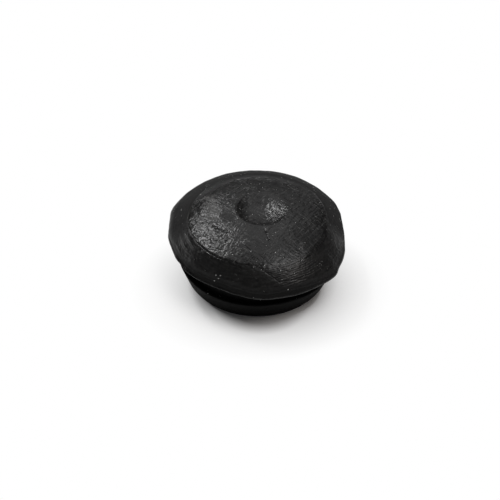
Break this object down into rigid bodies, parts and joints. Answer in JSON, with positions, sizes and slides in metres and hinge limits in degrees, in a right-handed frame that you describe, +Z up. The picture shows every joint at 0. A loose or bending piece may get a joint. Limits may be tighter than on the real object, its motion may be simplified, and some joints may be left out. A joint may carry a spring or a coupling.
{
  "type": "hole cover cap",
  "caption": "Round domed rubber cap that covers a hole in a panel, held by a groove and a tapered barb underneath.",
  "frame": {"origin": "the middle of the barb's foot, on the plane the cap stands on", "axes": "+Z up the barb's axis to the crown; +X and +Y across the head, with -Y toward the side seen in front"},
  "size_m": [0.0294, 0.0312, 0.013],
  "materials": {
    "black_rubber": "satin"
  },
  "bodies": {
    "root": {"cap": "black_rubber"}
  },
  "joints": []
}
